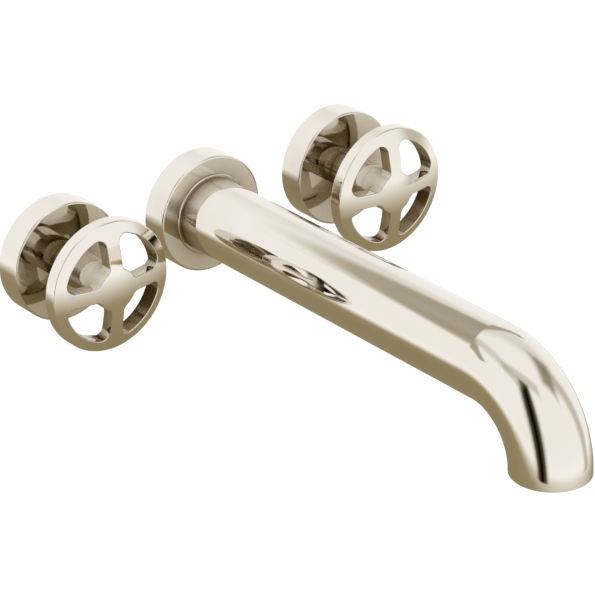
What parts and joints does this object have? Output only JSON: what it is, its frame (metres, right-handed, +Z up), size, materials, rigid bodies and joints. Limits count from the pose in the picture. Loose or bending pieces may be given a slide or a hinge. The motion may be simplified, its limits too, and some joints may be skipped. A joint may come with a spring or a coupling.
{
  "type": "wall mounted bath faucet",
  "caption": "Wall mounted bath faucet: long tube spout turned down at its end, between hot and cold quarter-turn valves with domed spoked wheels.",
  "frame": {"origin": "on the spout's axis at the wall, in the mouth of the spout adapter's thread", "axes": "-Y out of the wall towards the bather, +X to the cold valve, +Z up; the wall is the plane y = 0"},
  "size_m": [0.2806, 0.343, 0.0848],
  "materials": {
    "hot_escutcheon": "polished warm nickel",
    "hot_escutcheon_gasket": "matte",
    "hot_escutcheon_o_ring": "matte",
    "hot_valve_sleeve": "polished warm nickel",
    "hot_headwork_body": "turned",
    "hot_seat_seal": "matte",
    "hot_fixed_ceramic_disc": "lapped ceramic",
    "hot_moving_ceramic_disc": "lapped ceramic",
    "hot_spindle": "turned",
    "hot_spindle_o_rings": "matte",
    "hot_spindle_clip": "plain",
    "hot_stem_adapter": "turned",
    "hot_handle_screw": "plain",
    "hot_wheel": "polished warm nickel",
    "hot_wheel_set_screw": "plain",
    "cold_escutcheon": "polished warm nickel",
    "cold_escutcheon_gasket": "matte",
    "cold_escutcheon_o_ring": "matte",
    "cold_valve_sleeve": "polished warm nickel",
    "cold_headwork_body": "turned",
    "cold_seat_seal": "matte",
    "cold_fixed_ceramic_disc": "lapped ceramic",
    "cold_moving_ceramic_disc": "lapped ceramic",
    "cold_spindle": "turned",
    "cold_spindle_o_rings": "matte",
    "cold_spindle_clip": "plain",
    "cold_stem_adapter": "turned",
    "cold_handle_screw": "plain",
    "cold_wheel": "polished warm nickel",
    "cold_wheel_set_screw": "plain",
    "spout_tube": "polished warm nickel",
    "spout_escutcheon": "polished warm nickel",
    "spout_escutcheon_gasket": "matte",
    "spout_escutcheon_o_ring": "matte",
    "spout_adapter": "turned",
    "spout_inlet_washer": "matte",
    "spout_o_rings": "matte",
    "spout_set_screw": "plain",
    "outlet_washer": "matte",
    "flow_straightener": "moulded",
    "outlet_ring": "polished warm nickel"
  },
  "bodies": {
    "wall_side": {"hot_escutcheon": "hot_escutcheon", "hot_escutcheon_gasket": "hot_escutcheon_gasket", "hot_escutcheon_o_ring": "hot_escutcheon_o_ring", "hot_valve_sleeve": "hot_valve_sleeve", "hot_headwork_body": "hot_headwork_body", "hot_seat_seal": "hot_seat_seal", "hot_fixed_ceramic_disc": "hot_fixed_ceramic_disc", "cold_escutcheon": "cold_escutcheon", "cold_escutcheon_gasket": "cold_escutcheon_gasket", "cold_escutcheon_o_ring": "cold_escutcheon_o_ring", "cold_valve_sleeve": "cold_valve_sleeve", "cold_headwork_body": "cold_headwork_body", "cold_seat_seal": "cold_seat_seal", "cold_fixed_ceramic_disc": "cold_fixed_ceramic_disc", "spout_tube": "spout_tube", "spout_escutcheon": "spout_escutcheon", "spout_escutcheon_gasket": "spout_escutcheon_gasket", "spout_escutcheon_o_ring": "spout_escutcheon_o_ring", "spout_adapter": "spout_adapter", "spout_inlet_washer": "spout_inlet_washer", "spout_o_rings": "spout_o_rings", "spout_set_screw": "spout_set_screw", "outlet_washer": "outlet_washer", "flow_straightener": "flow_straightener", "outlet_ring": "outlet_ring"},
    "hot_handle": {"hot_wheel": "hot_wheel", "hot_wheel_set_screw": "hot_wheel_set_screw", "hot_stem_adapter": "hot_stem_adapter", "hot_handle_screw": "hot_handle_screw", "hot_spindle": "hot_spindle", "hot_spindle_o_rings": "hot_spindle_o_rings", "hot_spindle_clip": "hot_spindle_clip", "hot_moving_ceramic_disc": "hot_moving_ceramic_disc"},
    "cold_handle": {"cold_wheel": "cold_wheel", "cold_wheel_set_screw": "cold_wheel_set_screw", "cold_stem_adapter": "cold_stem_adapter", "cold_handle_screw": "cold_handle_screw", "cold_spindle": "cold_spindle", "cold_spindle_o_rings": "cold_spindle_o_rings", "cold_spindle_clip": "cold_spindle_clip", "cold_moving_ceramic_disc": "cold_moving_ceramic_disc"}
  },
  "joints": [
    {"name": "hot_handle_turn", "type": "hinge", "parent": "wall_side", "child": "hot_handle", "pos_m": [-0.1016, -0.05, 0], "axis": [0, -1, 0], "range_deg": [0, 90]},
    {"name": "cold_handle_turn", "type": "hinge", "parent": "wall_side", "child": "cold_handle", "pos_m": [0.1016, -0.05, 0], "axis": [0, -1, 0], "range_deg": [-90, 0]}
  ]
}
